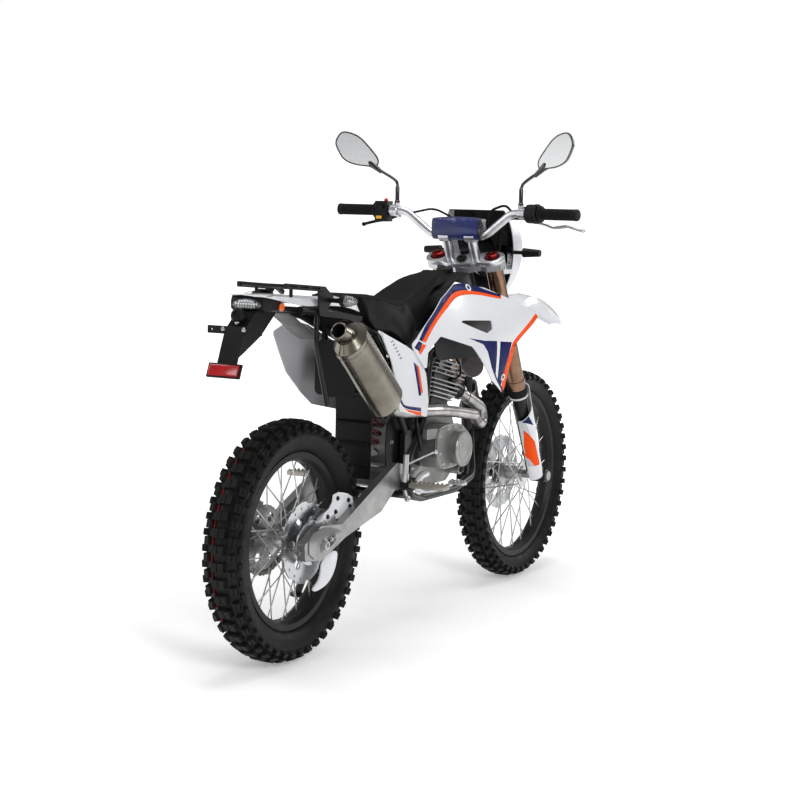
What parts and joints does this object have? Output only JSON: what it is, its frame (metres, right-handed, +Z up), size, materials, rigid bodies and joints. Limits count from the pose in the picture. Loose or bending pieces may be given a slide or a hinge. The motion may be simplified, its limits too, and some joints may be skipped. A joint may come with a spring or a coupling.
{
  "type": "dual sport motorcycle",
  "caption": "Full-size dual sport motorcycle on its side stand, with steering, spinning wheels and a folding stand, rear rack, mirrors and lamps.",
  "frame": {"origin": "middle of the footprint on the ground", "axes": "+X forward, +Y to the rider's left, +Z up; the bike leans 7 degrees to its left on its side stand"},
  "size_m": [2.1176, 0.87, 1.501],
  "materials": {
    "tyre": "knobbly rubber",
    "rim": "satin black",
    "hub": "cast aluminium and steel spokes",
    "disc": "ground steel",
    "steel": "plain steel",
    "black_metal": "satin black paint",
    "silver": "silver aluminium",
    "gold": "bronze anodised",
    "white": "gloss white plastic",
    "black_plastic": "matt black plastic",
    "navy": "navy pad",
    "rubber": "black rubber",
    "seat": "black grip cover",
    "engine": "grey cast aluminium",
    "fins": "black cylinder with bright fin edges",
    "muffler": "brushed steel, slightly warm",
    "spring": "dark red paint",
    "horn": "dark grey shell",
    "lens_clear": "clear lens",
    "lens_red": "red reflector",
    "mirror": "black mirror shell"
  },
  "bodies": {
    "chassis": {"rear_axle": "steel", "swingarm": "silver", "shock_absorber": "steel", "shock_spring": "spring", "drive_chain": "steel", "frame_cradle": "black_metal", "subframe": "black_metal", "pivot_bolt": "steel", "engine_cases": "engine", "engine_cylinder": "fins", "carburettor": "silver", "horn": "horn", "airbox": "black_plastic", "exhaust_header": "steel", "muffler": "muffler", "shroud_right": "white", "shroud_left": "white", "side_panel_right": "white", "side_panel_left": "white", "seat": "seat", "fuel_tank": "black_plastic", "rear_fender": "white", "luggage_rack": "black_metal", "tail_lamp": "lens_clear", "plate_bracket": "black_plastic", "rear_reflector": "lens_red", "rear_indicators": "black_plastic", "footpegs": "steel", "brake_pedal": "steel", "shift_lever": "steel", "inner_mudguard": "black_plastic", "rear_caliper": "silver"},
    "rear_wheel": {"rear_tyre": "tyre", "rear_rim": "rim", "rear_hub": "hub", "rear_disc": "disc", "rear_sprocket": "steel"},
    "front_wheel": {"front_tyre": "tyre", "front_rim": "rim", "front_hub": "hub", "front_disc": "disc"},
    "steering": {"lower_clamp": "silver", "upper_clamp": "silver", "fork_tubes": "gold", "fork_legs": "black_metal", "fork_guards": "white", "front_axle": "steel", "handlebar": "silver", "grips": "rubber", "hand_controls": "black_plastic", "control_cables": "rubber", "mirrors": "mirror", "bar_pad": "navy", "bar_risers": "silver", "headlamp": "lens_clear", "headlight_mask": "white", "front_fender": "white", "front_indicators": "black_plastic", "front_caliper": "silver"},
    "side_stand": {"side_stand": "black_metal"}
  },
  "joints": [
    {"name": "rear_wheel_spin", "type": "hinge", "parent": "chassis", "child": "rear_wheel", "pos_m": [-0.72811, -0.12699, 0.32979], "axis": [0, 0.9925, -0.1219], "continuous": true},
    {"name": "steering_turn", "type": "hinge", "parent": "chassis", "child": "steering", "pos_m": [0.64609, -0.12504, 0.34567], "axis": [-0.4462, 0.1091, 0.8883], "range_deg": [-40, 40]},
    {"name": "front_wheel_spin", "type": "hinge", "parent": "steering", "child": "front_wheel", "pos_m": [0.71189, -0.12504, 0.34567], "axis": [0, 0.9925, -0.1219], "continuous": true},
    {"name": "side_stand_fold", "type": "hinge", "parent": "chassis", "child": "side_stand", "pos_m": [-0.25011, 0.00816, 0.38019], "axis": [0.2338, 0.886, 0.4005], "range_deg": [0, 104]}
  ]
}
